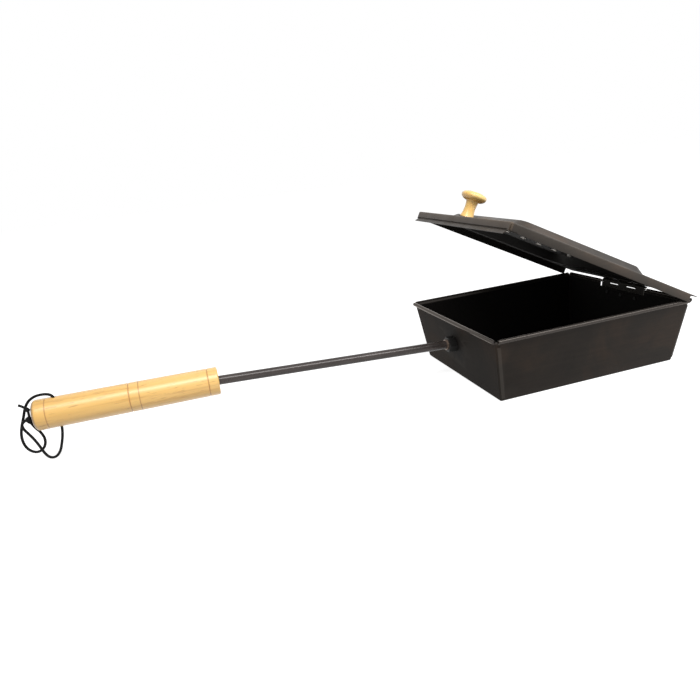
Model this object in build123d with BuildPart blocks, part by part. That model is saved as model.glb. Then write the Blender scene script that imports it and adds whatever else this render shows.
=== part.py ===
from build123d import *
import math
import os

# Open-fire popcorn popper: a folded sheet-steel pan, a vented sheet-steel lid hinged at the far end and
# standing open, and a long steel rod that ends in a turned wooden grip with a hanging lace.
# Origin at the centre of the pan's base, +Z up, handle toward -X, lid hinge at +X. Millimetres.

# ---- Driving dimensions -------------------------------------------------------------------------------

sheet = 0.8  # steel sheet of the pan and the lid
turn_clearance = 0.05  # radial gap between a pin, rivet or thread and its hole
knuckle_gap = 0.3  # gap between the hinge's moving surfaces

# Pan
base_length = 211.0
base_width = 179.0
rim_length = 229.0  # outer wall faces at the top edge
rim_width = 203.0
wall_height = 68.5  # top edge of the walls, level with the centres of the rim beads
fold_radius = 2.0  # outer radius of the folded base edges and corners
bead_radius = 2.2  # outer radius of the curled rim
bead_corner_gap = 2.0  # from the rim's corner to the end of a bead
rear_bead_corner_gap = 0.3  # the same for the outer ends of the rear beads
bead_slot_start = 192.0  # degrees round the curl, between which it stays open toward the wall
bead_slot_end = 222.0
wire_recess = 0.6  # from the end of a bead to the end of its wire
wire_clearance = 0.1
corner_tab_width = 3.6  # lapped tabs: of the front wall on the long walls, and of these on the rear wall
corner_tab_margin = 3.5  # from the tab's ends to the base and the rim

# Hinge
hinge_width = 72.0
knuckle_count = 5
hinge_standoff = 2.5  # pin axis from the rear wall's outer face
hinge_rise = 1.74  # pin axis above the wall's top edge, along the wall
barrel_radius = 2.3
pin_radius = 1.1
pin_head_radius = 1.9
pin_head_height = 1.3
leaf_sheet = 0.9
leaf_drop = 17.5  # pan leaf below the wall's top edge
leaf_reach = 14.0  # lid leaf from the pin axis toward the front
leaf_corner = 3.0
rear_bead_setback = 4.0  # from the hinge's side to the rear beads
rivet_radius = 1.2
rivet_head_radius = 2.5
rivet_head_height = 1.1
rivet_tail_radius = 2.1
rivet_tail_height = 0.8
rivet_spacing = 24.0
pan_rivet_drop = 11.6  # below the wall's top edge
hinge_notch_drop = 5.8  # rear wall cut down behind the hinge
hinge_notch_side = 1.5  # of that cut past the hinge's sides
lid_rivet_reach = 9.0  # from the pin axis

# Lid
lid_open_angle = 27.0  # from level, as it stands
plate_clearance = 0.5  # plate's underside above the hinge barrel
lid_front_gap = 4.1  # between the closed lid's front skirt and the front bead
lid_side_gap = 0.6  # between its side skirts and the side beads
skirt_depth = 8.7  # from the plate's top face to the skirt's lower edge
skirt_start = 8.0  # from the pin axis to the ends of the side skirts
lid_lip = 2.0  # plate past the pin axis
lid_fold_radius = 1.8
front_band = 6.4  # front skirt from the plate's top face to its pressed groove
swage_lead = 0.5  # straight stretch below the band
swage_depth = 1.2
swage_slope = 0.7  # height of each flank
swage_floor = 0.8
swage_bend = 0.45
flange_length = 4.4  # flared lower edge of the front skirt
flange_flare = 40.0  # degrees from the skirt
flange_end_gap = 2.4  # from its ends to the lid's sides
lid_tab_width = 9.0  # front-skirt tabs lapped on the side skirts
lid_tab_margin = 1.4
panel_inset = 19.0  # from the plate's front and side edges to the foot of the raised panel
panel_rear = 41.0  # from the pin axis to that foot
panel_height = 9.8
panel_slope_run = 13.0
panel_corner = 21.0
panel_fold = 3.0
vent_radius = 2.6
vent_collar_width = 0.6
vent_collar_depth = 3.0
vent_columns = 5
vent_rows = 3
vent_column_pitch = 23.0
vent_row_pitch = 26.0
vent_centre = 116.0  # from the pin axis

# Knob
knob_setback = 10.0  # knob axis behind the front skirt's outer face
knob_washer_radius = 8.6
knob_washer_thickness = 0.8
knob_base_radius = 7.8
knob_neck_radius = 6.0
knob_shoulder_radius = 6.9  # inside the cap
knob_neck_height = 10.5  # above the plate
knob_cap_radius = 13.8
knob_cap_half = 4.9
knob_cap_centre = 23.8
knob_cap_full = 10.2  # how far out the cap's faces stay nearly flat
screw_radius = 2.0
screw_length = 17.0
screw_head_radius = 4.0
screw_head_height = 1.2
screw_head_round = 0.5
screw_slot_width = 1.0
screw_slot_depth = 0.5

# Handle rod
rod_radius = 4.75
thread_radius = 3.0
rod_height = 40.8  # rod axis where it crosses the front wall's outer face
rod_tilt = 3.15  # degrees, rising toward the grip
rod_run = 262.5  # from that crossing to the bend at the grip
rod_bend_radius = 60.0
nut_width = 16.0  # across flats
nut_length = 9.5
nut_chamfer = 1.1
nut_corner_trim = 0.15
collar_radius = 6.0
collar_length = 2.0
inner_washer_radius = 9.0
inner_washer_edge = 0.9  # thickness at its thin side
inner_nut_width = 10.0
inner_nut_length = 5.0
thread_end = 2.5  # thread past its nut

# Grip and its fixing
grip_tilt = 1.02  # degrees
grip_gap = 2.4  # from the rod's bend to the grip's front face
grip_length = 175.0
grip_front_radius = 14.3
grip_rear_radius = 15.0
grip_front_chamfer = 0.9
grip_rear_round = 4.0
groove_stations = (10.4, 77.0, 86.6, 162.4)  # from the grip's front face
groove_radius = 0.8
groove_lift = 0.35  # groove centres above the grip's surface
bore_clearance = 0.15
counterbore_radius = 6.5
counterbore_depth = 38.0
grip_washer_radius = 6.2
grip_washer_thickness = 1.0
tang_shoulder_gap = 2.0  # from the rod's rear shoulder to the counterbore
lace_hole_station = 154.0
lace_hole_radius = 1.9

# Lace. The routes are measured from where its hole crosses the grip's axis.
lace_radius = 1.3
lace_fit = 0.45  # arc radius: this share of the shorter run, over the tangent of half the turn
knot_radius = 3.5
end_knot_radius = 2.3
knot_centre = (-26.0, 0.0, -2.8)
end_knot_centre = (-24.0, -4.2, 8.8)
upper_route = (
    (0.0, 0.0, 0.0),
    (0.0, 0.0, 8.0),
    (-0.2, 0.0, 15.4),
    (-3.4, 0.2, 18.6),
    (-9.6, 0.3, 19.8),
    (-16.6, 0.4, 19.2),
    (-23.1, 0.8, 15.4),
    (-27.6, 1.6, 8.8),
    (-31.1, 2.8, 0.3),
    (-35.1, 3.3, -8.2),
    (-38.1, 3.4, -17.2),
    (-38.4, 3.5, -26.7),
    (-35.1, 3.4, -34.7),
    (-28.1, 3.3, -38.6),
    (-21.4, 3.4, -35.0),
    (-18.4, 3.3, -27.2),
    (-20.0, 2.8, -18.8),
    (-24.2, 1.6, -11.6),
    (-26.2, 0.4, -4.6),
)
lower_route = (
    (0.0, 0.0, 0.0),
    (0.0, 0.0, -7.6),
    (-0.2, 0.0, -16.2),
    (-1.8, -0.2, -24.7),
    (-4.4, -0.8, -32.7),
    (-7.6, -1.5, -40.6),
    (-12.8, -2.1, -45.2),
    (-18.3, -2.6, -43.6),
    (-21.4, -2.8, -37.4),
    (-23.6, -2.9, -29.5),
    (-26.4, -2.9, -21.6),
    (-29.9, -2.8, -14.8),
    (-33.0, -2.6, -9.2),
    (-33.2, -2.1, -3.6),
    (-28.2, -0.8, -1.8),
)
tail_route = (
    (-25.2, -1.6, -0.6),
    (-24.2, -3.6, 3.6),
    (-24.0, -4.3, 8.8),
    (-26.6, -4.8, 12.8),
    (-30.4, -4.7, 15.2),
)

# ---- Frames -------------------------------------------------------------------------------------------

end_lean = math.degrees(math.atan2((rim_length - base_length) / 2, wall_height))
side_lean = math.degrees(math.atan2((rim_width - base_width) / 2, wall_height))


def tilted(angle, forward, upward=(0, 0, 1)):
    """Unit vector turned by `angle` degrees from `forward` toward `upward`."""
    turn = math.radians(angle)
    return Vector(*forward) * math.cos(turn) + Vector(*upward) * math.sin(turn)


# Outer faces of the walls: local Z points out of the pan, local Y up along the wall from its top edge.
rear_out = tilted(-end_lean, (1, 0, 0))
front_out = tilted(-end_lean, (-1, 0, 0))
near_out = tilted(-side_lean, (0, -1, 0))
rear_wall = Plane(origin=(rim_length / 2, 0, wall_height), x_dir=(0, 1, 0), z_dir=rear_out)
front_wall = Plane(origin=(-rim_length / 2, 0, wall_height), x_dir=(0, -1, 0), z_dir=front_out)
near_wall = Plane(origin=(0, -rim_width / 2, wall_height), x_dir=(1, 0, 0), z_dir=near_out)

# Hinge: `hinge_plane` is square to the pin. In `lid_plane`, local X runs along the lid away from the pin
# and local Z is up from the lid. In `lid_side`, local X runs along the lid and local Y is up from it.
hinge_axis = rear_wall.from_local_coords(Vector(0, hinge_rise, hinge_standoff))
lid_out = tilted(lid_open_angle, (-1, 0, 0))
lid_up = tilted(90 + lid_open_angle, (-1, 0, 0))
hinge_plane = Plane(origin=hinge_axis, x_dir=(1, 0, 0), z_dir=(0, 1, 0))
lid_plane = Plane(origin=hinge_axis, x_dir=lid_out, z_dir=lid_up)
lid_side = Plane(origin=hinge_axis, x_dir=lid_out, z_dir=(0, 1, 0))

# Rod and grip: local Z runs outward along each, away from the pan.
rod_start = front_wall.from_local_coords(
    Vector(0, (rod_height - wall_height) / math.cos(math.radians(end_lean)), 0)
)
rod_out = tilted(rod_tilt, (-1, 0, 0))
rod_plane = Plane(origin=rod_start, x_dir=(0, 1, 0), z_dir=rod_out)
rod_bend = rod_start + rod_out * rod_run
grip_out = tilted(grip_tilt, (-1, 0, 0))
grip_front = rod_bend + grip_out * grip_gap
grip_plane = Plane(origin=grip_front, x_dir=(0, 1, 0), z_dir=grip_out)
grip_side = Plane(origin=grip_front, x_dir=grip_out, z_dir=(0, 1, 0))
grip_axis = Axis(grip_front, grip_out)
lace_start = grip_front + grip_out * lace_hole_station

# ---- Derived sizes ------------------------------------------------------------------------------------

bead_out = 2 * bead_radius - sheet  # bead past the wall's outer face
wire_radius = bead_radius - sheet - wire_clearance
hinge_side = hinge_width / 2
knuckle_pitch = hinge_width / knuckle_count
knuckle_length = knuckle_pitch - knuckle_gap
knuckle_middles = [(index - (knuckle_count - 1) / 2) * knuckle_pitch for index in range(knuckle_count)]
pan_knuckles = knuckle_middles[0::2]
lid_knuckles = knuckle_middles[1::2]
notch_width = knuckle_pitch + knuckle_gap
notch_reach = barrel_radius + knuckle_gap  # from the pin axis to a leaf's notched edge
pin_hole_radius = pin_radius + turn_clearance
rivet_hole_radius = rivet_radius + turn_clearance
rivet_rows = (-rivet_spacing, 0, rivet_spacing)

plate_low = barrel_radius + plate_clearance  # heights above the pin axis, in the lid's frame
plate_top = plate_low + sheet
skirt_low = plate_top - skirt_depth
leaf_low = plate_low - leaf_sheet
lid_reach = hinge_axis.X + rim_length / 2 + bead_out + lid_front_gap + sheet
lid_width = rim_width + 2 * (bead_out + lid_side_gap + sheet)
panel_middle = (lid_reach - panel_inset + panel_rear) / 2
panel_length = lid_reach - panel_inset - panel_rear
panel_width = lid_width - 2 * panel_inset
panel_taper = math.degrees(math.atan2(panel_slope_run, panel_height))
vent_collar_radius = vent_radius + vent_collar_width
knob_reach = lid_reach - knob_setback
screw_hole_radius = screw_radius + turn_clearance
screw_hole_depth = screw_length + turn_clearance - sheet

thread_hole_radius = thread_radius + turn_clearance
rod_to_wall = rod_tilt + end_lean  # degrees between the rod and the wall's normal
wall_inside = sheet / math.cos(math.radians(rod_to_wall))  # wall's inner face along the rod
inner_washer_bevel = inner_washer_radius * math.tan(math.radians(rod_to_wall))
inner_washer_face = wall_inside + inner_washer_edge + inner_washer_bevel
inner_nut_face = inner_washer_face + inner_nut_length
rod_shoulder = nut_length + collar_length
counterbore_floor = grip_length - counterbore_depth
tang_shoulder = counterbore_floor - tang_shoulder_gap
grip_nut_face = counterbore_floor + grip_washer_thickness + inner_nut_length
bore_radius = rod_radius + bore_clearance

# ---- Pan ----------------------------------------------------------------------------------------------

bead_runs = {
    # name: (middle of the run on the rim, direction out of the pan, half length)
    "front": ((-rim_length / 2, 0), (-1, 0, 0), rim_width / 2 - bead_corner_gap),
    "near": ((0, -rim_width / 2), (0, -1, 0), rim_length / 2 - bead_corner_gap),
    "far": ((0, rim_width / 2), (0, 1, 0), rim_length / 2 - bead_corner_gap),
}
rear_bead_inner = hinge_side + rear_bead_setback
rear_bead_outer = rim_width / 2 - rear_bead_corner_gap
rear_bead_middle = (rear_bead_inner + rear_bead_outer) / 2
rear_bead_half = (rear_bead_outer - rear_bead_inner) / 2
bead_runs["rear_left"] = ((rim_length / 2, -rear_bead_middle), (1, 0, 0), rear_bead_half)
bead_runs["rear_right"] = ((rim_length / 2, rear_bead_middle), (1, 0, 0), rear_bead_half)


def bead_plane(middle, outward):
    """Plane square to a bead at its middle: local X points out of the pan and local Y up."""
    centre = Vector(*middle, wall_height) + Vector(*outward) * (bead_radius - sheet)
    return Plane(origin=centre, x_dir=outward, z_dir=Vector(*outward).cross(Vector(0, 0, 1)))


def tab_outline(side, rim_half, base_half, slant):
    """Corners of a lapped tab on a wall's plane, beside the wall's edge at local +X or -X."""
    edge_lean = (rim_half - base_half) / slant
    corners = []
    for drop in (corner_tab_margin + bead_radius, slant - corner_tab_margin):
        edge = rim_half - drop * edge_lean - fold_radius / 2
        corners.append([(side * edge, -drop), (side * (edge - corner_tab_width), -drop)])
    return [*corners[0], *reversed(corners[1])]


def pan_form(depth):
    """The folded pan, filled up to its rim, with its faces `depth` inside the sheet's outer faces."""
    end_inset = depth / math.cos(math.radians(end_lean))
    side_inset = depth / math.cos(math.radians(side_lean))
    foot_length = base_length + 2 * (depth * math.tan(math.radians(end_lean)) - end_inset)
    foot_width = base_width + 2 * (depth * math.tan(math.radians(side_lean)) - side_inset)
    with BuildPart() as form:
        with BuildSketch(Plane.XY.offset(depth)):
            Rectangle(foot_length, foot_width)
        with BuildSketch(Plane.XY.offset(wall_height)):
            Rectangle(rim_length - 2 * end_inset, rim_width - 2 * side_inset)
        loft()
        corner_folds = form.faces().filter_by(Axis.Z, reverse=True).edges().filter_by(Plane.XY, reverse=True)
        base_folds = form.edges().group_by(Axis.Z)[0]
        fillet([*corner_folds, *base_folds], fold_radius - depth)
    return form.part


with BuildPart() as pan_body:
    add(pan_form(0))
    add(pan_form(sheet), mode=Mode.SUBTRACT)
    # The curled rim, left open a little on its lower inner side
    for middle, outward, half in bead_runs.values():
        with BuildSketch(bead_plane(middle, outward)):
            Circle(bead_radius)
            Circle(bead_radius - sheet, mode=Mode.SUBTRACT)
            with BuildLine():
                slot_start = PolarLine((0, 0), 2 * bead_radius, bead_slot_start)
                slot_end = PolarLine((0, 0), 2 * bead_radius, bead_slot_end)
                Line(slot_start @ 1, slot_end @ 1)
            make_face(mode=Mode.SUBTRACT)
        extrude(amount=half, both=True)
    # Corner tabs: of the front wall on the long walls, and of the long walls on the rear wall
    with BuildSketch(near_wall):
        long_slant = wall_height / math.cos(math.radians(side_lean))
        Polygon(*tab_outline(-1, rim_length / 2, base_length / 2, long_slant), align=None)
    near_tab = extrude(amount=sheet)
    mirror(near_tab, about=Plane.XZ)
    with BuildSketch(rear_wall):
        rear_slant = wall_height / math.cos(math.radians(end_lean))
        Polygon(*tab_outline(-1, rim_width / 2, base_width / 2, rear_slant), align=None)
    rear_tab = extrude(amount=sheet)
    mirror(rear_tab, about=Plane.XZ)
    # Rear wall cut down behind the hinge
    with BuildSketch(rear_wall):
        Rectangle(2 * (hinge_side + hinge_notch_side), 2 * hinge_notch_drop)
    extrude(amount=2 * sheet, both=True, mode=Mode.SUBTRACT)
    # Holes for the handle's thread and for the hinge's rivets
    with BuildSketch(rod_plane):
        Circle(thread_hole_radius)
    extrude(amount=2 * fold_radius, both=True, mode=Mode.SUBTRACT)
    with BuildSketch(rear_wall):
        with Locations(*[(row, -pan_rivet_drop) for row in rivet_rows]):
            Circle(rivet_hole_radius)
    extrude(amount=2 * sheet, both=True, mode=Mode.SUBTRACT)
pan_body.part.label = "pan_body"

rim_wires = []
for place, (middle, outward, half) in bead_runs.items():
    with BuildPart() as rim_wire:
        with BuildSketch(bead_plane(middle, outward)):
            Circle(wire_radius)
        extrude(amount=half - wire_recess, both=True)
    rim_wire.part.label = f"rim_wire_{place}"
    rim_wires.append(rim_wire.part)

# ---- Hinge --------------------------------------------------------------------------------------------

with BuildPart() as hinge_leaf_pan:
    with BuildSketch(rear_wall) as leaf:
        with Locations((0, (hinge_rise - leaf_drop) / 2)):
            Rectangle(hinge_width - knuckle_gap, hinge_rise + leaf_drop)
        fillet(leaf.vertices().group_by(Axis.Y)[0], leaf_corner)
        with Locations(*[(row, -pan_rivet_drop) for row in rivet_rows]):
            Circle(rivet_hole_radius, mode=Mode.SUBTRACT)
        with Locations(*[(middle, hinge_rise - notch_reach) for middle in lid_knuckles]):
            Rectangle(notch_width, 2 * notch_reach, align=(Align.CENTER, Align.MIN), mode=Mode.SUBTRACT)
    extrude(amount=leaf_sheet)
    for middle in pan_knuckles:
        with BuildSketch(hinge_plane.offset(middle)):
            Circle(barrel_radius)
        extrude(amount=knuckle_length / 2, both=True)
    with BuildSketch(hinge_plane):
        Circle(pin_hole_radius)
    extrude(amount=hinge_width, both=True, mode=Mode.SUBTRACT)
hinge_leaf_pan.part.label = "hinge_leaf_pan"

with BuildPart() as hinge_leaf_lid:
    with BuildSketch(lid_plane.offset(leaf_low)) as leaf:
        with Locations((leaf_reach / 2, 0)):
            Rectangle(leaf_reach, hinge_width - knuckle_gap)
        fillet(leaf.vertices().group_by(Axis.X)[-1], leaf_corner)
        with Locations(*[(lid_rivet_reach, row) for row in rivet_rows]):
            Circle(rivet_hole_radius, mode=Mode.SUBTRACT)
        with Locations(*[(0, middle) for middle in pan_knuckles]):
            Rectangle(2 * notch_reach, notch_width, mode=Mode.SUBTRACT)
    extrude(amount=leaf_sheet)
    for middle in lid_knuckles:
        with BuildSketch(hinge_plane.offset(middle)):
            Circle(barrel_radius)
        extrude(amount=knuckle_length / 2, both=True)
    with BuildSketch(hinge_plane):
        Circle(pin_hole_radius)
    extrude(amount=hinge_width, both=True, mode=Mode.SUBTRACT)
hinge_leaf_lid.part.label = "hinge_leaf_lid"

pin_half = hinge_side - knuckle_gap / 2
with BuildPart() as hinge_pin:
    with BuildSketch(hinge_plane):
        Circle(pin_radius)
    extrude(amount=pin_half, both=True)
    for side in (-1, 1):
        with BuildSketch(hinge_plane.offset(side * pin_half)):
            Circle(pin_head_radius)
        extrude(amount=side * pin_head_height)
    head_rims = hinge_pin.edges().filter_by(GeomType.CIRCLE).sort_by(Axis.Y)
    fillet([head_rims[0], head_rims[-1]], pin_head_height * 0.8)
hinge_pin.part.label = "hinge_pin"


def rivet_row(face, spots, grip_depth):
    """Rivets with domed heads on `face` and flat tails `grip_depth` below it."""
    with BuildPart() as rivets:
        with BuildSketch(face):
            with Locations(*spots):
                Circle(rivet_radius)
        extrude(amount=-grip_depth)
        with BuildSketch(face):
            with Locations(*spots):
                Circle(rivet_head_radius)
        extrude(amount=rivet_head_height)
        outward = Axis(face.origin, face.z_dir)
        fillet(rivets.edges().group_by(outward)[-1], rivet_head_height * 0.8)
        with BuildSketch(face.offset(-grip_depth)):
            with Locations(*spots):
                Circle(rivet_tail_radius)
        extrude(amount=-rivet_tail_height)
    return rivets.part


hinge_rivets_pan = rivet_row(
    rear_wall.offset(leaf_sheet), [(row, -pan_rivet_drop) for row in rivet_rows], leaf_sheet + sheet
)
hinge_rivets_pan.label = "hinge_rivets_pan"
hinge_rivets_lid = rivet_row(
    lid_plane.offset(plate_top), [(lid_rivet_reach, row) for row in rivet_rows], leaf_sheet + sheet
)
hinge_rivets_lid.label = "hinge_rivets_lid"

# ---- Lid ----------------------------------------------------------------------------------------------

band_low = plate_top - front_band
vent_grid = [
    (
        vent_centre + (column - (vent_columns - 1) / 2) * vent_column_pitch,
        (row - (vent_rows - 1) / 2) * vent_row_pitch,
    )
    for column in range(vent_columns)
    for row in range(vent_rows)
]


def panel_pressing(foot_height):
    """The raised panel's outer form, standing on a level of the lid's frame."""
    with BuildPart() as pressing:
        with BuildSketch(lid_plane.offset(foot_height)):
            with Locations((panel_middle, 0)):
                RectangleRounded(panel_length, panel_width, panel_corner)
        extrude(amount=panel_height, taper=panel_taper)
        outward = Axis(lid_plane.origin, lid_plane.z_dir)
        fillet(pressing.edges().group_by(outward)[-1], panel_fold)
    return pressing.part


with BuildPart() as lid_shell:
    # Folded cap, open below and toward the hinge
    with BuildSketch(lid_plane.offset(skirt_low)):
        with Locations(((lid_reach + skirt_start) / 2, 0)):
            Rectangle(lid_reach - skirt_start, lid_width)
    extrude(amount=skirt_depth)
    top_rim = lid_shell.faces().sort_by(Axis(lid_plane.origin, lid_up))[-1].edges()
    fillet(top_rim.sort_by(Axis(lid_plane.origin, lid_out))[1:], lid_fold_radius)
    cap_low = lid_shell.faces().sort_by(Axis(lid_plane.origin, lid_up))[0]
    cap_rear = lid_shell.faces().sort_by(Axis(lid_plane.origin, lid_out))[0]
    offset(amount=-sheet, openings=[cap_low, cap_rear])
    # Plate past the ends of the side skirts, over the hinge
    with BuildSketch(lid_plane.offset(plate_low)):
        with Locations(((skirt_start - lid_lip) / 2, 0)):
            Rectangle(skirt_start + lid_lip, lid_width - 2 * lid_fold_radius)
    extrude(amount=sheet)
    # Raised panel, pressed out of the plate
    add(panel_pressing(plate_top))
    add(panel_pressing(plate_low), mode=Mode.SUBTRACT)
    # Vents, with the burr collars that the punch left below them
    vent_face = lid_plane.offset(plate_low + panel_height)
    with BuildSketch(vent_face):
        with Locations(*vent_grid):
            Circle(vent_collar_radius)
    extrude(amount=-vent_collar_depth)
    with BuildSketch(vent_face):
        with Locations(*vent_grid):
            Circle(vent_radius)
    extrude(amount=2 * vent_collar_depth, both=True, mode=Mode.SUBTRACT)
    # Front skirt's pressed groove, and its lower edge flared outward below it
    with BuildSketch(lid_side):
        with Locations((lid_reach - sheet / 2, band_low)):
            Rectangle(2 * sheet, band_low - skirt_low, align=(Align.CENTER, Align.MAX))
    extrude(amount=lid_width / 2 - flange_end_gap, both=True, mode=Mode.SUBTRACT)
    flare = math.radians(flange_flare)
    swage_start = Vector(lid_reach - sheet / 2, band_low - swage_lead)
    swage_in = swage_start - Vector(swage_depth, swage_slope)
    swage_out = swage_in - Vector(0, swage_floor)
    flange_root = swage_out + Vector(swage_depth, -swage_slope)
    flange_tip = flange_root + Vector(math.sin(flare), -math.cos(flare)) * flange_length
    with BuildSketch(lid_side):
        with BuildLine():
            FilletPolyline(
                swage_start + Vector(0, swage_lead),
                swage_start,
                swage_in,
                swage_out,
                flange_root,
                flange_tip,
                radius=swage_bend,
            )
        trace(line_width=sheet)
    extrude(amount=lid_width / 2 - flange_end_gap, both=True)
    # Front-skirt tabs lapped on the outside of the side skirts
    with BuildSketch(lid_side.offset(lid_width / 2)):
        with Locations((lid_reach - lid_tab_margin, plate_top - lid_tab_margin - sheet)):
            Rectangle(
                lid_tab_width,
                skirt_depth - lid_tab_margin - 2 * sheet,
                align=(Align.MAX, Align.MAX),
            )
    far_tab = extrude(amount=sheet)
    mirror(far_tab, about=Plane.XZ)
    # Holes for the hinge's rivets and the knob's screw
    with BuildSketch(lid_plane.offset(plate_low)):
        with Locations(*[(lid_rivet_reach, row) for row in rivet_rows]):
            Circle(rivet_hole_radius)
        with Locations((knob_reach, 0)):
            Circle(screw_hole_radius)
    extrude(amount=2 * sheet, both=True, mode=Mode.SUBTRACT)
lid_shell.part.label = "lid_shell"

# ---- Knob ---------------------------------------------------------------------------------------------

knob_foot = lid_side.from_local_coords(Vector(knob_reach, plate_top, 0))
knob_plane = Plane(origin=knob_foot, x_dir=lid_out, z_dir=(0, 1, 0))
knob_axis = Axis(knob_foot, lid_up)
knob_seat = Plane(origin=knob_foot, x_dir=lid_out, z_dir=lid_up)

with BuildPart() as knob_washer:
    with BuildSketch(knob_seat):
        Circle(knob_washer_radius)
        Circle(screw_hole_radius, mode=Mode.SUBTRACT)
    extrude(amount=knob_washer_thickness)
knob_washer.part.label = "knob_washer"

with BuildPart() as knob:
    with BuildSketch(knob_plane):
        with BuildLine():
            foot = Line((screw_hole_radius, knob_washer_thickness), (knob_base_radius, knob_washer_thickness))
            waist = ThreePointArc(
                foot @ 1,
                (knob_neck_radius, knob_neck_height),
                (knob_shoulder_radius, knob_cap_centre - knob_cap_half),
            )
            Bezier(
                waist @ 1,
                (knob_cap_full, knob_cap_centre - knob_cap_half),
                (knob_cap_radius, knob_cap_centre - knob_cap_half / 2),
                (knob_cap_radius, knob_cap_centre),
            )
            crown = Bezier(
                (knob_cap_radius, knob_cap_centre),
                (knob_cap_radius, knob_cap_centre + knob_cap_half * 0.6),
                (knob_cap_full, knob_cap_centre + knob_cap_half),
                (0, knob_cap_centre + knob_cap_half),
            )
            Polyline(crown @ 1, (0, screw_hole_depth), (screw_hole_radius, screw_hole_depth), foot @ 0)
        make_face()
    revolve(axis=knob_axis)
knob.part.label = "knob"

with BuildPart() as knob_screw:
    screw_seat = knob_seat.offset(-sheet)
    with BuildSketch(screw_seat):
        Circle(screw_head_radius)
    extrude(amount=-screw_head_height)
    fillet(knob_screw.edges().sort_by(knob_axis)[0], screw_head_round)
    with BuildSketch(screw_seat.offset(-screw_head_height)):
        Rectangle(screw_slot_width, 2 * screw_head_radius)
    extrude(amount=screw_slot_depth, mode=Mode.SUBTRACT)
    with BuildSketch(screw_seat):
        Circle(screw_radius)
    extrude(amount=screw_length)
knob_screw.part.label = "knob_screw"

# ---- Handle rod and its fixing on the pan -------------------------------------------------------------

rod_shoulder_plane = rod_plane.offset(rod_shoulder)
tang_shoulder_plane = grip_plane.offset(tang_shoulder)
with BuildPart() as handle_rod:
    with BuildLine():
        FilletPolyline(
            rod_shoulder_plane.origin, rod_bend, tang_shoulder_plane.origin, radius=rod_bend_radius
        )
    with BuildSketch(rod_shoulder_plane):
        Circle(rod_radius)
    sweep()
    with BuildSketch(rod_shoulder_plane):
        Circle(thread_radius)
    extrude(amount=-(rod_shoulder + inner_nut_face + thread_end))
    with BuildSketch(tang_shoulder_plane):
        Circle(thread_radius)
    extrude(amount=grip_nut_face - tang_shoulder + thread_end)
handle_rod.part.label = "handle_rod"

with BuildPart() as rod_collar:
    with BuildSketch(rod_plane.offset(nut_length)):
        Circle(collar_radius)
        Circle(thread_hole_radius, mode=Mode.SUBTRACT)
    extrude(amount=collar_length)
rod_collar.part.label = "rod_collar"


def hexagon_nut(seat, width, length):
    """Hexagon nut standing on `seat`, its outer corners chamfered."""
    with BuildPart() as nut:
        with BuildSketch(seat):
            Circle(width / math.sqrt(3) - nut_corner_trim)
        extrude(amount=length)
        chamfer(nut.edges().sort_by(Axis(seat.origin, seat.z_dir))[-1], nut_chamfer)
        with BuildSketch(seat):
            RegularPolygon(width / 2, 6, major_radius=False)
        extrude(amount=length, mode=Mode.INTERSECT)
        with BuildSketch(seat):
            Circle(thread_hole_radius)
        extrude(amount=length, mode=Mode.SUBTRACT)
    return nut.part


with BuildPart() as socket_nut:
    add(hexagon_nut(rod_plane.offset(-nut_width), nut_width, nut_width + nut_length))
    split(bisect_by=front_wall, keep=Keep.TOP)
socket_nut.part.label = "socket_nut"

with BuildPart() as inner_washer:
    with BuildSketch(rod_plane.offset(-inner_washer_face)):
        Circle(inner_washer_radius)
        Circle(thread_hole_radius, mode=Mode.SUBTRACT)
    extrude(amount=2 * inner_washer_face)
    split(bisect_by=front_wall.offset(-sheet), keep=Keep.BOTTOM)
inner_washer.part.label = "inner_washer"

inner_seat = Plane(origin=rod_plane.offset(-inner_washer_face).origin, x_dir=(0, 1, 0), z_dir=-rod_out)
inner_nut = hexagon_nut(inner_seat, inner_nut_width, inner_nut_length)
inner_nut.label = "inner_nut"

# ---- Grip ---------------------------------------------------------------------------------------------


def grip_radius_at(station):
    """The grip tapers evenly from its rear to its front."""
    return grip_front_radius + (grip_rear_radius - grip_front_radius) * station / grip_length


with BuildPart() as grip:
    with BuildSketch(grip_side):
        Polygon(
            (0, 0), (0, grip_front_radius), (grip_length, grip_rear_radius), (grip_length, 0), align=None
        )
    revolve(axis=grip_axis)
    end_rims = grip.edges().filter_by(GeomType.CIRCLE).sort_by(grip_axis)
    chamfer(end_rims[0], grip_front_chamfer)
    fillet(grip.edges().filter_by(GeomType.CIRCLE).sort_by(grip_axis)[-1], grip_rear_round)
    with BuildSketch(grip_side):
        with Locations(*[(station, grip_radius_at(station) + groove_lift) for station in groove_stations]):
            Circle(groove_radius)
    revolve(axis=grip_axis, mode=Mode.SUBTRACT)
    with BuildSketch(grip_plane):
        Circle(bore_radius)
    extrude(amount=counterbore_floor, mode=Mode.SUBTRACT)
    with BuildSketch(grip_plane.offset(counterbore_floor)):
        Circle(counterbore_radius)
    extrude(amount=counterbore_depth, mode=Mode.SUBTRACT)
    with BuildSketch(Plane(origin=lace_start)):
        Circle(lace_hole_radius)
    extrude(amount=2 * grip_rear_radius, both=True, mode=Mode.SUBTRACT)
grip.part.label = "grip"

with BuildPart() as grip_washer:
    with BuildSketch(grip_plane.offset(counterbore_floor)):
        Circle(grip_washer_radius)
        Circle(thread_hole_radius, mode=Mode.SUBTRACT)
    extrude(amount=grip_washer_thickness)
grip_washer.part.label = "grip_washer"

grip_nut = hexagon_nut(
    grip_plane.offset(counterbore_floor + grip_washer_thickness), inner_nut_width, inner_nut_length
)
grip_nut.label = "grip_nut"

# ---- Lace ---------------------------------------------------------------------------------------------


def corner_radius(before, corner, after):
    """Arc radius that a corner's two runs allow."""
    run_in = corner - before
    run_out = after - corner
    half_turn = math.radians(run_in.get_angle(run_out)) / 2
    return lace_fit * min(run_in.length, run_out.length) / math.tan(half_turn)


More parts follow.
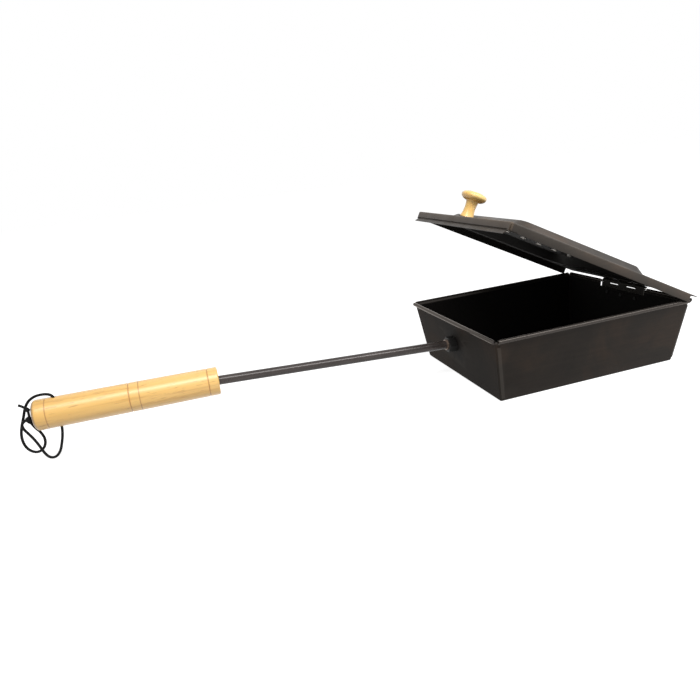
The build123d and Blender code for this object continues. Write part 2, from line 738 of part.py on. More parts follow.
def lace_tube(name, route):
    """A stretch of lace: straight runs joined by tangent arcs."""
    points = [lace_start + Vector(*offset) for offset in route]
    radii = [corner_radius(*points[index : index + 3]) for index in range(len(points) - 2)]
    with BuildPart() as tube:
        with BuildLine() as path:
            FilletPolyline(*points, radius=radii)
        with BuildSketch(Plane(origin=points[0], z_dir=points[1] - points[0])):
            Circle(lace_radius)
        sweep()
    length = path.wires()[0].length
    fill = tube.part.volume / (math.pi * lace_radius**2 * length)
    print(name, "length", round(length, 1), "volume over section times length", round(fill, 4))
    print(name, "radii", [round(radius, 1) for radius in radii])
    tube.part.label = name
    return tube.part


def lace_lump(name, centre, radius):
    """A knot's closed outer shape."""
    with BuildPart() as lump:
        with Locations(lace_start + Vector(*centre)):
            Sphere(radius)
    lump.part.label = name
    return lump.part


lace_upper = lace_tube("lace_upper", upper_route)
lace_lower = lace_tube("lace_lower", lower_route)
lace_tail = lace_tube("lace_tail", tail_route)
lace_knot = lace_lump("lace_knot", knot_centre, knot_radius)
lace_end_knot = lace_lump("lace_end_knot", end_knot_centre, end_knot_radius)

# ---- Write the pieces ---------------------------------------------------------------------------------

pieces = [
    pan_body.part,
    *rim_wires,
    hinge_leaf_pan.part,
    hinge_leaf_lid.part,
    hinge_pin.part,
    hinge_rivets_pan,
    hinge_rivets_lid,
    lid_shell.part,
    knob_washer.part,
    knob.part,
    knob_screw.part,
    handle_rod.part,
    rod_collar.part,
    socket_nut.part,
    inner_washer.part,
    inner_nut,
    grip.part,
    grip_washer.part,
    grip_nut,
    lace_upper,
    lace_lower,
    lace_tail,
    lace_knot,
    lace_end_knot,
]

os.makedirs("parts", exist_ok=True)
for piece in pieces:
    export_step(piece, f"parts/{piece.label}.step")
print("hinge axis", hinge_axis, "lace hole", lace_start, "lid reach", lid_reach, "knob at", knob_foot)
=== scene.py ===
import math

import bmesh
import bpy
from mathutils import Matrix, Vector


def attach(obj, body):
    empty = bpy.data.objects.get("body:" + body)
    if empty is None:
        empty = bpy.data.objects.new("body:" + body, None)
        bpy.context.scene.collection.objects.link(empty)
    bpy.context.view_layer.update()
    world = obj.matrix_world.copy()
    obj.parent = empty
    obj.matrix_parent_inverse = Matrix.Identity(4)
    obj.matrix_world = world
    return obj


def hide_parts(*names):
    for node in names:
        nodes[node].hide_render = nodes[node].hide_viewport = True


# Looks of an open-fire popcorn popper: dark sheet-steel pan and lid, steel rod, turned wood and
# a black lace. Metres, in the same frame as the CAD model: the origin is at the centre of the
# pan's base, +Z is up, the handle runs toward -X and the lid's hinge is at +X.

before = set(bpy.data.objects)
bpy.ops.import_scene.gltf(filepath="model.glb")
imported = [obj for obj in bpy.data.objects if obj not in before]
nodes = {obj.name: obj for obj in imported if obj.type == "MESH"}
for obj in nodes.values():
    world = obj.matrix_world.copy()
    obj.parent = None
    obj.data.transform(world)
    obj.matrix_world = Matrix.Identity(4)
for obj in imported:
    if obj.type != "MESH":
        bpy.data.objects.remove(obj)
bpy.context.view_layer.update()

# ---- Camera --------------------------------------------------------------------------------------

CAMERA_PLACE = (-0.3856, -0.5972, 0.2522)
CAMERA_AZIMUTH = -14.30  # degrees
CAMERA_ELEVATION = 17.45
CAMERA_ROLL = -7.39
CAMERA_LENS = 30.76  # mm, on the sensor below
CAMERA_SENSOR = 36  # mm
CAMERA_NEAR = 0.01  # clipping distances
CAMERA_FAR = 50


def make_camera():
    azimuth = math.radians(CAMERA_AZIMUTH)
    elevation = math.radians(CAMERA_ELEVATION)
    roll = math.radians(CAMERA_ROLL)
    back = Vector(
        (
            math.sin(azimuth) * math.cos(elevation),
            -math.cos(azimuth) * math.cos(elevation),
            math.sin(elevation),
        )
    )
    right = Vector((math.cos(azimuth), math.sin(azimuth), 0))
    up = back.cross(right)
    rolled_right = right * math.cos(roll) + up * math.sin(roll)
    rolled_up = up * math.cos(roll) - right * math.sin(roll)
    data = bpy.data.cameras.new("camera")
    data.lens = CAMERA_LENS
    data.sensor_width = CAMERA_SENSOR
    data.clip_start = CAMERA_NEAR
    data.clip_end = CAMERA_FAR
    camera = bpy.data.objects.new("camera", data)
    turn = Matrix((rolled_right, rolled_up, back)).transposed()
    camera.matrix_world = Matrix.Translation(CAMERA_PLACE) @ turn.to_4x4()
    bpy.context.scene.collection.objects.link(camera)
    bpy.context.scene.camera = camera


make_camera()

# ---- Node helpers --------------------------------------------------------------------------------


def new_material(name):
    """A material with a plain principled shader, its node tree and that shader."""
    material = bpy.data.materials.new(name)
    material.use_nodes = True
    return material, material.node_tree, material.node_tree.nodes["Principled BSDF"]


def add_node(tree, kind, **settings):
    node = tree.nodes.new(kind)
    for name, value in settings.items():
        setattr(node, name, value)
    return node


def stretched(tree, vector, scale):
    """`vector` with its components multiplied by those of `scale`."""
    mapping = add_node(tree, "ShaderNodeMapping")
    mapping.inputs["Scale"].default_value = scale
    tree.links.new(vector, mapping.inputs["Vector"])
    return mapping.outputs["Vector"]


def object_coordinates(tree, scale=(1, 1, 1)):
    """Metres in the CAD model's frame, times `scale`."""
    return stretched(tree, add_node(tree, "ShaderNodeTexCoord").outputs["Object"], scale)


def noise(tree, vector, scale, detail=4.0, roughness=0.55, distortion=0.0):
    node = add_node(tree, "ShaderNodeTexNoise")
    node.inputs["Scale"].default_value = scale
    node.inputs["Detail"].default_value = detail
    node.inputs["Roughness"].default_value = roughness
    node.inputs["Distortion"].default_value = distortion
    tree.links.new(vector, node.inputs["Vector"])
    return node.outputs["Fac"]


def grey(value):
    return (value, value, value)


def ramp(tree, fac, stops):
    """Colour ramp with (position, colour) stops."""
    node = add_node(tree, "ShaderNodeValToRGB")
    elements = node.color_ramp.elements
    while len(elements) < len(stops):
        elements.new(0.5)
    for element, (position, colour) in zip(elements, stops):
        element.position = position
        element.color = (*colour, 1)
    tree.links.new(fac, node.inputs["Fac"])
    return node.outputs["Color"]


def fade(tree, fac, low, high, first=0.0, last=1.0):
    """A grey that goes from `first` where `fac` is `low` to `last` where it is `high`."""
    return ramp(tree, fac, ((low, grey(first)), (high, grey(last))))


def mix_colour(tree, fac, first, second, blend="MIX"):
    """`first` with `second` over it by `fac`; each is a socket, a colour or a number."""
    node = add_node(tree, "ShaderNodeMix", data_type="RGBA", blend_type=blend)
    sockets = (node.inputs["Factor"], node.inputs[6], node.inputs[7])
    for socket, value in zip(sockets, (fac, first, second)):
        if isinstance(value, bpy.types.NodeSocket):
            tree.links.new(value, socket)
        elif isinstance(value, (int, float)):
            socket.default_value = value
        else:
            socket.default_value = (*value, 1)
    return node.outputs[2]


def math_node(tree, operation, *values, clamp=False):
    node = add_node(tree, "ShaderNodeMath", operation=operation, use_clamp=clamp)
    for socket, value in zip(node.inputs, values):
        if isinstance(value, bpy.types.NodeSocket):
            tree.links.new(value, socket)
        else:
            socket.default_value = value
    return node.outputs["Value"]


def vector_node(tree, operation, first, second):
    """A vector operation on the socket `first` and on `second`, a constant or a socket."""
    node = add_node(tree, "ShaderNodeVectorMath", operation=operation)
    tree.links.new(first, node.inputs[0])
    if isinstance(second, bpy.types.NodeSocket):
        tree.links.new(second, node.inputs[1])
    else:
        node.inputs[1].default_value = second
    return node.outputs["Value" if operation in ("DOT_PRODUCT", "DISTANCE") else "Vector"]


def station(tree, space, start, axis):
    """How far a point is past `start`, measured along `axis`."""
    return vector_node(tree, "DOT_PRODUCT", vector_node(tree, "SUBTRACT", space, start), axis)


def facing(tree, way):
    """How much the surface looks along `way`, which is a constant or a socket."""
    place = add_node(tree, "ShaderNodeTexCoord")
    return vector_node(tree, "DOT_PRODUCT", place.outputs["Normal"], way)


def bump(tree, shader, height, distance, strength):
    node = add_node(tree, "ShaderNodeBump")
    node.inputs["Strength"].default_value = strength
    node.inputs["Distance"].default_value = distance
    tree.links.new(height, node.inputs["Height"])
    tree.links.new(node.outputs["Normal"], shader.inputs["Normal"])


# ---- Blackened sheet steel -----------------------------------------------------------------------

HINGE = (0.117205, 0, 0.0698995)
LID_TILT = math.radians(27)
LID_OUT = (-math.cos(LID_TILT), 0, math.sin(LID_TILT))  # along the lid, away from its hinge
LID_UP = (math.sin(LID_TILT), 0, math.cos(LID_TILT))
PANEL_LOW = 0.0127  # just above the pressed panel's inner face, from the hinge's axis
LID_FRONT = 0.2368  # where the front skirt starts, from the hinge's axis
VENT_CENTRE = 0.116  # from the hinge's axis
VENT_PITCH = (0.023, 0.026)  # along the lid and across it
VENT_SPAN = (0.05, 0.03)  # half of the vents' field
VENT_REACH = 0.0038  # how far the bared steel goes from a vent's axis
BOSS = (-0.1103, 0, 0.0408)  # where the rod meets the front wall
SCORCH_AND_SHADOW_REACH = (0.024, 0.036)  # from BOSS, where the scorch and the nut's painted shadow start to fade and where they end
SCORCH_AND_SHADOW_RAGGED = 0.022  # how far its edge wanders
RIM_LOW = 0.0658  # height where the rim's beads start
PAN_CENTRE = (0, 0, 0.036)
LID_CENTRE = (0.0, 0, 0.1)  # below the lid's plate

SHEET_TINT = (0.01, 0.0074, 0.0056)
# the lid's brown, made lighter than the pan's sheet partly as painted light
LID_TINT_AND_LIGHT = (0.034, 0.0275, 0.022)
LEAF_TINT = (0.012, 0.011, 0.01)
HEAT_TINT = (2.2, 1.8, 1.5)  # how much brighter each channel is where heat browned the sheet
SHEET_SHEEN = (1, 0.91, 0.84, 1)
MILL_SCALE = (0.07, 0.066, 0.06)
EDGE_STEEL = (0.2, 0.18, 0.16)
EDGE_GAIN = 9  # from the curvature of an edge to its wear
EDGE_WEAR = 0.12  # the most that an edge is worn
# the front skirt's brown, made lighter as painted light on that face
FRONT_SKIRT_BROWNS_AND_LIGHT = ((0.06, 0.045, 0.034), (0.15, 0.115, 0.085))
RIM_STEEL = (0.05, 0.044, 0.04)
VENT_STEEL = (0.75, 0.73, 0.7)
# the next black is painted shade inside the pan and the lid and low on the lid, and a scorch with
# the nut's painted shadow round the nut
SHADE_AND_SCORCH_BLACK = (0.0035, 0.003, 0.0028)
INSIDE_DULL = 0.72  # this and the next four are roughness values
FRONT_DULL = 0.74
SCORCH_AND_SHADOW_DULL = 0.9
RIM_DULL = 0.16
VENT_DULL = 0.3
RIM_METAL = 0.5  # how metallic the rim is
RIM_FADE = 1000.0  # per metre, so the rim's look comes in over 1 mm
INWARD_FADE = 100.0  # per metre
# the next two set painted shade that darkens the lid toward its lower edge
LOW_SHADE_SLOPE = 70.0  # per metre above the hinge's axis
LOW_SHADE_START = 0.42  # at that axis
ROLLING_SCALE = (14, 420, 420)  # the sheet was rolled along X


def edge_wear(tree):
    """Near 1 on convex edges and 0 on flat faces."""
    geometry = add_node(tree, "ShaderNodeNewGeometry")
    past_flat = math_node(tree, "SUBTRACT", geometry.outputs["Pointiness"], 0.5)
    return math_node(tree, "MULTIPLY", past_flat, EDGE_GAIN, clamp=True)


def from_grid(tree, value, centre, pitch):
    """How far `value` is past the nearest of the lines `pitch` apart, one of them at `centre`."""
    steps = math_node(tree, "DIVIDE", math_node(tree, "SUBTRACT", value, centre), pitch)
    nearest = math_node(tree, "ROUND", steps)
    return math_node(tree, "MULTIPLY", math_node(tree, "SUBTRACT", steps, nearest), pitch)


def near_vents(tree, space):
    """1 on the vents' collars, where the punch bared the steel, and 0 elsewhere."""
    along = station(tree, space, HINGE, LID_OUT)
    across = vector_node(tree, "DOT_PRODUCT", space, (0, 1, 0))
    from_column = from_grid(tree, along, VENT_CENTRE, VENT_PITCH[0])
    from_row = from_grid(tree, across, 0, VENT_PITCH[1])
    squares = math_node(tree, "MULTIPLY", from_column, from_column)
    squares = math_node(tree, "ADD", squares, math_node(tree, "MULTIPLY", from_row, from_row))
    close = math_node(tree, "LESS_THAN", math_node(tree, "SQRT", squares), VENT_REACH)
    offset = math_node(tree, "ABSOLUTE", math_node(tree, "SUBTRACT", along, VENT_CENTRE))
    in_columns = math_node(tree, "LESS_THAN", offset, VENT_SPAN[0])
    in_rows = math_node(tree, "LESS_THAN", math_node(tree, "ABSOLUTE", across), VENT_SPAN[1])
    return math_node(tree, "MULTIPLY", close, math_node(tree, "MULTIPLY", in_columns, in_rows))


def near_boss(tree, space):
    """1 on the front wall round the nut, fading to 0, where the wall is scorched and the nut's
    painted shadow darkens it.
    """
    reach = vector_node(tree, "DISTANCE", space, BOSS)
    ragged = math_node(tree, "MULTIPLY", noise(tree, space, 150), SCORCH_AND_SHADOW_RAGGED)
    return fade(tree, math_node(tree, "ADD", reach, ragged), *SCORCH_AND_SHADOW_REACH, 1, 0)


def inward(tree, space, centre):
    """1 on faces that look toward `centre`, and 0 on those that look away from it."""
    outward = facing(tree, vector_node(tree, "SUBTRACT", space, centre))
    share = math_node(tree, "MULTIPLY_ADD", outward, INWARD_FADE, 0.5)
    return fade(tree, share, 0.3, 0.6, 1, 0)


def heat_clouds(tree, space):
    return noise(tree, space, 13, detail=6, roughness=0.6, distortion=0.5)


def pan_details(tree, space, colour, haze):
    """Painted shade inside, a scorch with the nut's painted shadow round the nut, a dull front wall
    and a rim rubbed bright.
    """
    # painted shade: faces that look into the pan are blackened
    shaded_inside = inward(tree, space, PAN_CENTRE)
    colour = mix_colour(tree, shaded_inside, colour, SHADE_AND_SCORCH_BLACK)
    haze = mix_colour(tree, shaded_inside, haze, grey(INSIDE_DULL))
    # round the nut: a scorch mark, darkened further as the nut's painted shadow
    scorch_and_shadow = near_boss(tree, space)
    colour = mix_colour(tree, scorch_and_shadow, colour, SHADE_AND_SCORCH_BLACK)
    haze = mix_colour(tree, scorch_and_shadow, haze, grey(SCORCH_AND_SHADOW_DULL))
    front = fade(tree, facing(tree, (-1, 0, 0)), 0.8, 0.9)
    haze = mix_colour(tree, front, haze, grey(FRONT_DULL))
    height = vector_node(tree, "DOT_PRODUCT", space, (0, 0, 1))
    past = math_node(tree, "MULTIPLY", math_node(tree, "SUBTRACT", height, RIM_LOW), RIM_FADE)
    rim = fade(tree, past, 0, 1)
    colour = mix_colour(tree, rim, colour, RIM_STEEL)
    haze = mix_colour(tree, rim, haze, grey(RIM_DULL))
    return colour, haze, math_node(tree, "MULTIPLY", rim, RIM_METAL)


def lid_details(tree, space, colour, haze):
    """Painted shade inside and low on the lid, a lighter brown front skirt that is partly painted
    light, and the vents' bare collars.
    """
    # painted shade: faces that look into the lid are blackened
    shaded_inside = inward(tree, space, LID_CENTRE)
    colour = mix_colour(tree, shaded_inside, colour, SHADE_AND_SCORCH_BLACK)
    haze = mix_colour(tree, shaded_inside, haze, grey(INSIDE_DULL))
    front = math_node(tree, "GREATER_THAN", station(tree, space, HINGE, LID_OUT), LID_FRONT)
    # the front skirt's brown, made lighter as painted light on that face
    front_browns_and_light = mix_colour(tree, heat_clouds(tree, space), *FRONT_SKIRT_BROWNS_AND_LIGHT)
    colour = mix_colour(tree, front, colour, front_browns_and_light)
    colour = mix_colour(tree, shaded_inside, colour, SHADE_AND_SCORCH_BLACK)  # painted shade, also inside the front skirt
    lift = station(tree, space, HINGE, LID_UP)
    # painted shade: the lid darkens toward its lower edge
    clear_of_low_shade = math_node(tree, "MULTIPLY_ADD", lift, LOW_SHADE_SLOPE, LOW_SHADE_START)
    colour = mix_colour(tree, fade(tree, clear_of_low_shade, 0.02, 0.75, 0.72, 0), colour, SHADE_AND_SCORCH_BLACK)
    inside = math_node(tree, "LESS_THAN", lift, PANEL_LOW)
    bare = math_node(tree, "MULTIPLY", near_vents(tree, space), inside)
    colour = mix_colour(tree, bare, colour, VENT_STEEL)
    haze = mix_colour(tree, bare, haze, grey(VENT_DULL))
    return colour, haze, bare


def dark_steel(name, tint=SHEET_TINT, shine=0.3, gloss=0.13, details=None):
    """Blackened rolled sheet with heat tints, faint rolling marks and rubbed edges."""
    material, tree, shader = new_material(name)
    space = object_coordinates(tree)
    dark = tuple(channel * 0.55 for channel in tint)
    warm = tuple(channel * share for channel, share in zip(tint, HEAT_TINT))
    base = ramp(tree, heat_clouds(tree, space), ((0.34, dark), (0.52, tint), (0.7, warm)))
    rolling = noise(tree, object_coordinates(tree, ROLLING_SCALE), 1.0, detail=3)
    colour = mix_colour(tree, 0.7, base, fade(tree, rolling, 0.3, 0.7, 0.8, 1.2), "MULTIPLY")
    speckle = fade(tree, noise(tree, space, 420, detail=3, roughness=0.7), 0.66, 0.78)
    colour = mix_colour(tree, math_node(tree, "MULTIPLY", speckle, 0.15), colour, MILL_SCALE)
    worn = math_node(tree, "MULTIPLY", edge_wear(tree), EDGE_WEAR)
    colour = mix_colour(tree, worn, colour, EDGE_STEEL)
    haze = fade(tree, noise(tree, space, 40, detail=5), 0.3, 0.7, shine, shine + 0.16)
    if details:
        colour, haze, metallic = details(tree, space, colour, haze)
        tree.links.new(metallic, shader.inputs["Metallic"])
    tree.links.new(colour, shader.inputs["Base Color"])
    tree.links.new(haze, shader.inputs["Roughness"])
    shader.inputs["Specular IOR Level"].default_value = gloss
    shader.inputs["Specular Tint"].default_value = SHEET_SHEEN
    dents = noise(tree, space, 22, detail=2)
    fine = math_node(tree, "MULTIPLY", noise(tree, space, 700, detail=2), 0.05)
    bump(tree, shader, math_node(tree, "ADD", dents, fine), distance=0.0006, strength=0.35)
    return material


# ---- Bars, nuts and wires ------------------------------------------------------------------------

ROD_GREY = (0.045, 0.036, 0.033)
BRIGHT_STEEL = (0.55, 0.54, 0.52)
COLLAR_STEEL = (0.2, 0.145, 0.115)
OXIDE_BLACK = (0.007, 0.0065, 0.006)
DRAWING_SCALE = (8, 500, 500)  # the rod was drawn along X


def drawn_steel(name, colour=ROD_GREY, shine=0.2, metallic=0.15, gloss=0.4):
    """Bar, nut or wire with drawing marks and a few darker patches."""
    material, tree, shader = new_material(name)
    space = object_coordinates(tree)
    lines = noise(tree, object_coordinates(tree, DRAWING_SCALE), 1.0)
    dark, light = (tuple(channel * share for channel in colour) for share in (0.7, 1.3))
    tint = ramp(tree, lines, ((0.3, dark), (0.7, light)))
    patches = noise(tree, space, 60, detail=5, distortion=0.3)
    patched = mix_colour(tree, 0.8, tint, fade(tree, patches, 0.35, 0.6, 0.82, 1.05), "MULTIPLY")
    tree.links.new(patched, shader.inputs["Base Color"])
    rough = fade(tree, noise(tree, space, 130), 0.3, 0.75, shine, shine + 0.14)
    tree.links.new(rough, shader.inputs["Roughness"])
    shader.inputs["Metallic"].default_value = metallic
    shader.inputs["Specular IOR Level"].default_value = gloss
    bump(tree, shader, lines, distance=0.00008, strength=0.5)
    return material


# ---- Turned wood ---------------------------------------------------------------------------------

LACE_HOLE = (-0.529339, 0, 0.0580086)  # where the lace's hole crosses the grip's axis
LACE_STATION = 0.154  # the same, from the grip's front face
GRIP_TILT = math.radians(1.02)
GRIP_OUT = (-math.cos(GRIP_TILT), 0, math.sin(GRIP_TILT))
GRIP_FRONT = tuple(place - LACE_STATION * way for place, way in zip(LACE_HOLE, GRIP_OUT))
GROOVES = (0.0104, 0.077, 0.0866, 0.1624)  # from the grip's front face
GROOVE_HALF = 0.0007  # half of a groove's width
REAR_EDGE = 0.1718  # where the painted shade on the rear rounding starts
REAR_FADE = 400.0  # per metre, so it darkens over 2.5 mm
KNOB_GRAIN = (0, math.radians(-63), 0)  # turns X to the knob's axis

WOOD_TONES = ((0.3, (0.74, 0.43, 0.115)), (0.5, (0.82, 0.5, 0.15)), (0.72, (0.88, 0.57, 0.2)))
BRIGHTEST_TONE = 0.95
FIBRE_SHADE = (0.74, 0.66, 0.55)
PORE_BROWN = (0.36, 0.16, 0.045)
GROOVE_BROWN = (0.42, 0.19, 0.05)
REAR_SHADE_BROWN = (0.07, 0.025, 0.006)
KNOB_UNDERSIDE_SHADE = (0.5, 0.22, 0.05)
BAND_SCALE = (2.2, 34, 34)  # the grain runs along the first of the three
FIBRE_SCALE = (6, 210, 210)
PORE_SCALE = (75, 800, 800)


def grip_marks(tree, colour):
    """Brown turned grooves and painted shade on the rear rounding."""
    along = station(tree, object_coordinates(tree), GRIP_FRONT, GRIP_OUT)
    for groove in GROOVES:
        off = math_node(tree, "ABSOLUTE", math_node(tree, "SUBTRACT", along, groove))
        ring = fade(tree, math_node(tree, "DIVIDE", off, GROOVE_HALF), 0.45, 1, 0.8, 0)
        colour = mix_colour(tree, ring, colour, GROOVE_BROWN)
    # painted shade on the grip's rear rounding
    past = math_node(tree, "MULTIPLY", math_node(tree, "SUBTRACT", along, REAR_EDGE), REAR_FADE)
    return mix_colour(tree, fade(tree, past, 0, 1, 0, 0.85), colour, REAR_SHADE_BROWN)


def knob_marks(tree, colour):
    """Painted shade: a browner underside of the cap."""
    downward = math_node(tree, "MULTIPLY_ADD", facing(tree, LID_UP), -0.5, 0.5)
    return mix_colour(tree, fade(tree, downward, 0.6, 0.98, 0, 0.4), colour, KNOB_UNDERSIDE_SHADE)


def pale_wood(name, marks, grain_turn=(0, 0, 0), brightness=1.0):
    """Turned pale hardwood under a thin clear coat, its grain along X before `grain_turn`."""
    material, tree, shader = new_material(name)
    place = add_node(tree, "ShaderNodeTexCoord")
    mapping = add_node(tree, "ShaderNodeMapping", vector_type="TEXTURE")
    mapping.inputs["Rotation"].default_value = grain_turn
    tree.links.new(place.outputs["Object"], mapping.inputs["Vector"])
    grain = mapping.outputs["Vector"]
    bands = stretched(tree, grain, BAND_SCALE)
    bands = noise(tree, bands, 1.0, detail=3, roughness=0.5, distortion=0.6)
    fibres = stretched(tree, grain, FIBRE_SCALE)
    fibres = noise(tree, fibres, 1.0, detail=6, roughness=0.6, distortion=0.2)
    pores = noise(tree, stretched(tree, grain, PORE_SCALE), 1.0, detail=2)
    tones = [
        (position, tuple(min(channel * brightness, BRIGHTEST_TONE) for channel in tone))
        for position, tone in WOOD_TONES
    ]
    base = ramp(tree, bands, tones)
    thread = ramp(tree, fibres, ((0.3, FIBRE_SHADE), (0.46, grey(1.0)), (0.75, grey(1.05))))
    colour = mix_colour(tree, 0.8, base, thread, "MULTIPLY")
    colour = mix_colour(tree, fade(tree, pores, 0.62, 0.7, 0, 0.5), colour, PORE_BROWN)
    colour = marks(tree, colour)
    tree.links.new(colour, shader.inputs["Base Color"])
    tree.links.new(fade(tree, fibres, 0.3, 0.7, 0.33, 0.46), shader.inputs["Roughness"])
    shader.inputs["Specular IOR Level"].default_value = 0.3
    shader.inputs["Coat Weight"].default_value = 1.0
    shader.inputs["Coat Roughness"].default_value = 0.33
    shader.inputs["Subsurface Weight"].default_value = 0.06
    shader.inputs["Subsurface Radius"].default_value = (0.004, 0.002, 0.001)
    bump(tree, shader, fibres, distance=0.0001, strength=0.35)
    return material


# ---- Lace leather --------------------------------------------------------------------------------

LACE_BLACKS = ((0.35, (0.0015, 0.0015, 0.0017)), (0.75, (0.005, 0.0048, 0.005)))


def lace_leather(name):
    """Black round lace with a fine grain."""
    material, tree, shader = new_material(name)
    space = object_coordinates(tree)
    grain = noise(tree, space, 900, roughness=0.65)
    tree.links.new(ramp(tree, grain, LACE_BLACKS), shader.inputs["Base Color"])
    rough = fade(tree, noise(tree, space, 300, detail=3), 0.3, 0.7, 0.5, 0.72)
    tree.links.new(rough, shader.inputs["Roughness"])
    shader.inputs["Specular IOR Level"].default_value = 0.16
    bump(tree, shader, grain, distance=0.00012, strength=0.5)
    return material


# ---- Materials of the CAD nodes ------------------------------------------------------------------

pan_steel = dark_steel("pan_steel", details=pan_details)
lid_steel = dark_steel("lid_steel", tint=LID_TINT_AND_LIGHT, gloss=0.25, details=lid_details)
leaf_steel = dark_steel("leaf_steel", tint=LEAF_TINT, shine=0.32)
rod_steel = drawn_steel("rod_steel")
bright_steel = drawn_steel("bright_steel", BRIGHT_STEEL, shine=0.24, metallic=1.0)
collar_steel = drawn_steel("collar_steel", COLLAR_STEEL, shine=0.3, metallic=0.5)
black_oxide = drawn_steel("black_oxide", OXIDE_BLACK, shine=0.42, metallic=0.0, gloss=0.25)
grip_wood = pale_wood("grip_wood", grip_marks)
knob_wood = pale_wood("knob_wood", knob_marks, grain_turn=KNOB_GRAIN, brightness=1.2)
lace_black = lace_leather("lace_black")

DRESSING = (
    (pan_steel, ("pan_body",)),
    (lid_steel, ("lid_shell",)),
    (leaf_steel, ("hinge_leaf_pan", "hinge_leaf_lid", "hinge_rivets_lid")),
    (rod_steel, ("handle_rod", "rim_wire_front", "rim_wire_near", "rim_wire_far")),
    (rod_steel, ("rim_wire_rear_left", "rim_wire_rear_right")),
    (bright_steel, ("hinge_pin", "grip_washer", "grip_nut", "knob_screw")),
    (collar_steel, ("rod_collar",)),
    (black_oxide, ("hinge_rivets_pan", "socket_nut", "inner_washer", "inner_nut")),
    (black_oxide, ("knob_washer",)),
    (grip_wood, ("grip",)),
    (knob_wood, ("knob",)),
)
for material, names in DRESSING:
    for name in names:
        for slot in nodes[name].material_slots:
            slot.material = material

# ---- The lace's line and its knots ---------------------------------------------------------------

LACE_START = Vector(LACE_HOLE)
LACE_RADIUS = 0.0013
# Routes and knots are measured from LACE_START.
UPPER_ROUTE = (
    (0.0, 0.0, 0.0),
    (0.0, 0.0, 0.0080),
    (-0.0002, 0.0, 0.0154),
    (-0.0034, 0.0002, 0.0186),
    (-0.0096, 0.0003, 0.0198),
    (-0.0166, 0.0004, 0.0192),
    (-0.0231, 0.0008, 0.0154),
    (-0.0276, 0.0016, 0.0088),
    (-0.0311, 0.0028, 0.0003),
    (-0.0351, 0.0033, -0.0082),
    (-0.0381, 0.0034, -0.0172),
    (-0.0384, 0.0035, -0.0267),
    (-0.0351, 0.0034, -0.0347),
    (-0.0281, 0.0033, -0.0386),
    (-0.0214, 0.0034, -0.0350),
    (-0.0184, 0.0033, -0.0272),
    (-0.0200, 0.0028, -0.0188),
    (-0.0242, 0.0016, -0.0116),
    (-0.0262, 0.0004, -0.0046),
)
LOWER_ROUTE = (
    (0.0, 0.0, 0.0),
    (0.0, 0.0, -0.0076),
    (-0.0002, 0.0, -0.0162),
    (-0.0018, -0.0002, -0.0247),
    (-0.0044, -0.0008, -0.0327),
    (-0.0076, -0.0015, -0.0406),
    (-0.0128, -0.0021, -0.0452),
    (-0.0183, -0.0026, -0.0436),
    (-0.0214, -0.0028, -0.0374),
    (-0.0236, -0.0029, -0.0295),
    (-0.0264, -0.0029, -0.0216),
    (-0.0299, -0.0028, -0.0148),
    (-0.0330, -0.0026, -0.0092),
    (-0.0332, -0.0021, -0.0036),
    (-0.0282, -0.0008, -0.0018),
)
TAIL_ROUTE = (
    (-0.0252, -0.0016, -0.0006),
    (-0.0242, -0.0036, 0.0036),
    (-0.0240, -0.0043, 0.0088),
    (-0.0266, -0.0048, 0.0128),
    (-0.0304, -0.0047, 0.0152),
)
KNOT_CENTRE = Vector((-0.0260, 0.0, -0.0028))
END_KNOT_CENTRE = Vector((-0.0240, -0.0042, 0.0088))
KNOT_STEPS = 10  # control points in each turn of a knot
KNOT_UNEVEN = 0.12  # how much the turns differ, as a share of the knot's reach
KNOT_LIFT = 0.54  # half of a knot's height over its reach
KNOT_SQUEEZE = 0.95  # how thick the lace is in a knot, over its own thickness
TAIL_SQUEEZE = 0.92


def lace_curve(name, points, radius=LACE_RADIUS):
    """A round cord along one smooth curve, whose control points are measured from LACE_START."""
    data = bpy.data.curves.new(name, "CURVE")
    data.dimensions = "3D"
    data.bevel_depth = radius
    data.bevel_resolution = 5
    data.resolution_u = 10
    data.use_fill_caps = True
    spline = data.splines.new("NURBS")
    spline.points.add(len(points) - 1)
    for spot, place in zip(spline.points, points):
        spot.co = (*(LACE_START + Vector(place)), 1)
    spline.order_u = 3
    spline.use_endpoint_u = True
    cord = bpy.data.objects.new(name, data)
    bpy.context.scene.collection.objects.link(cord)
    data.materials.append(lace_black)
    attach(cord, "pan")
    return cord


def knot_turns(name, centre, reach, turns, axis_turn):
    """A lump of `turns` lace loops drawn tight round each other."""
    steps = KNOT_STEPS * turns
    points = []
    for step in range(steps + 1):
        angle = 2 * math.pi * turns * step / steps
        swing = reach * (1 + KNOT_UNEVEN * math.sin(angle * 1.5))
        flat = Vector((math.cos(angle) * swing, math.sin(angle) * swing, 0))
        lift = Vector((0, 0, reach * KNOT_LIFT * math.sin(angle * (turns + 1) / turns)))
        points.append(centre + Matrix.Rotation(axis_turn, 3, "Y") @ (flat + lift))
    return lace_curve(name, points, LACE_RADIUS * KNOT_SQUEEZE)


knot = knot_turns(
    "lace_knot_turns", KNOT_CENTRE, reach=0.0026, turns=3, axis_turn=math.radians(35)
)
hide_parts("lace_knot")
end_knot = knot_turns(
    "lace_end_knot_turns", END_KNOT_CENTRE, reach=0.0011, turns=2, axis_turn=math.radians(70)
)
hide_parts("lace_end_knot")
tail = lace_curve("lace_tail_curve", TAIL_ROUTE, LACE_RADIUS * TAIL_SQUEEZE)
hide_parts("lace_tail")
upper = lace_curve("lace_upper_curve", UPPER_ROUTE)
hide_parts("lace_upper")
lower = lace_curve("lace_lower_curve", LOWER_ROUTE)
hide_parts("lace_lower")

# ---- Stage and light -----------------------------------------------------------------------------

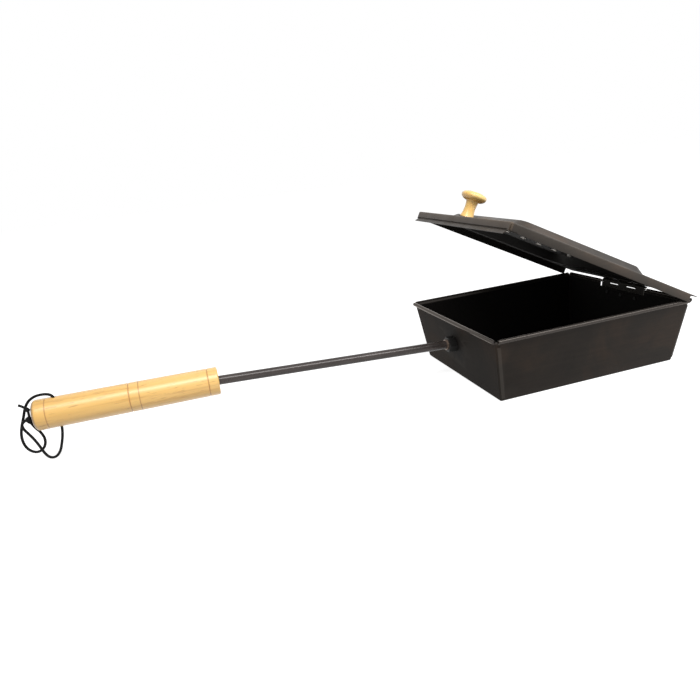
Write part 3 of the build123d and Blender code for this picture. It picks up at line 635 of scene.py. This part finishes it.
STAGE_PALE = (0.5, 0.5, 0.5, 1)
STAGE_GLOW = 0.85
FLOOR_HALF = 6
WORLD_LIT = 0.3  # strength of the world's light on the object
WORLD_SEEN = 0.7  # added to it where the world itself is seen
LIGHT_AIM = Vector((0, 0, 0.05))
LIGHTS = (  # name, place, size and watts
    ("key", (0, -0.85, 1.35), (1.7, 0.45), 27),
    ("fill", (0.9, -0.95, 0.9), (0.5, 0.5), 5),
)


def seen_or_mirrored(tree):
    """1 on rays from the camera, also off a mirror or through glass, and 0 on all others."""
    paths = add_node(tree, "ShaderNodeLightPath")
    seen = math_node(
        tree, "MAXIMUM", paths.outputs["Is Camera Ray"], paths.outputs["Is Glossy Ray"]
    )
    return math_node(tree, "MAXIMUM", seen, paths.outputs["Is Transmission Ray"])


def white_stage_material():
    """A pale floor that takes shadows, with a glow where it is seen that makes it white."""
    material = bpy.data.materials.new("stage_white")
    material.use_nodes = True
    tree = material.node_tree
    tree.nodes.clear()
    pale = add_node(tree, "ShaderNodeBsdfDiffuse")
    pale.inputs["Color"].default_value = STAGE_PALE
    glow = add_node(tree, "ShaderNodeEmission")
    glow.inputs["Color"].default_value = (1, 1, 1, 1)
    glow.inputs["Strength"].default_value = STAGE_GLOW
    both = add_node(tree, "ShaderNodeAddShader")
    tree.links.new(pale.outputs[0], both.inputs[0])
    tree.links.new(glow.outputs[0], both.inputs[1])
    blend = add_node(tree, "ShaderNodeMixShader")
    tree.links.new(seen_or_mirrored(tree), blend.inputs[0])
    tree.links.new(pale.outputs[0], blend.inputs[1])
    tree.links.new(both.outputs[0], blend.inputs[2])
    out = add_node(tree, "ShaderNodeOutputMaterial")
    tree.links.new(blend.outputs[0], out.inputs["Surface"])
    return material


def make_floor():
    mesh = bpy.data.meshes.new("floor")
    plane = bmesh.new()
    bmesh.ops.create_grid(plane, x_segments=1, y_segments=1, size=FLOOR_HALF)
    plane.to_mesh(mesh)
    plane.free()
    floor = bpy.data.objects.new("floor", mesh)
    mesh.materials.append(white_stage_material())
    bpy.context.scene.collection.objects.link(floor)


def make_world():
    world = bpy.data.worlds.new("studio")
    world.use_nodes = True
    tree = world.node_tree
    surface = tree.nodes["Background"]
    surface.inputs["Color"].default_value = (1, 1, 1, 1)
    extra = math_node(tree, "MULTIPLY", seen_or_mirrored(tree), WORLD_SEEN)
    strength = math_node(tree, "ADD", extra, WORLD_LIT)
    tree.links.new(strength, surface.inputs["Strength"])
    bpy.context.scene.world = world


def area_light(name, place, size, power):
    data = bpy.data.lights.new(name, "AREA")
    data.shape = "RECTANGLE"
    data.size, data.size_y = size
    data.energy = power
    lamp = bpy.data.objects.new(name, data)
    lamp.location = place
    lamp.rotation_euler = (LIGHT_AIM - Vector(place)).to_track_quat("-Z", "Y").to_euler()
    bpy.context.scene.collection.objects.link(lamp)


make_floor()
make_world()
for light in LIGHTS:
    area_light(*light)
bpy.context.scene.view_settings.view_transform = "Standard"
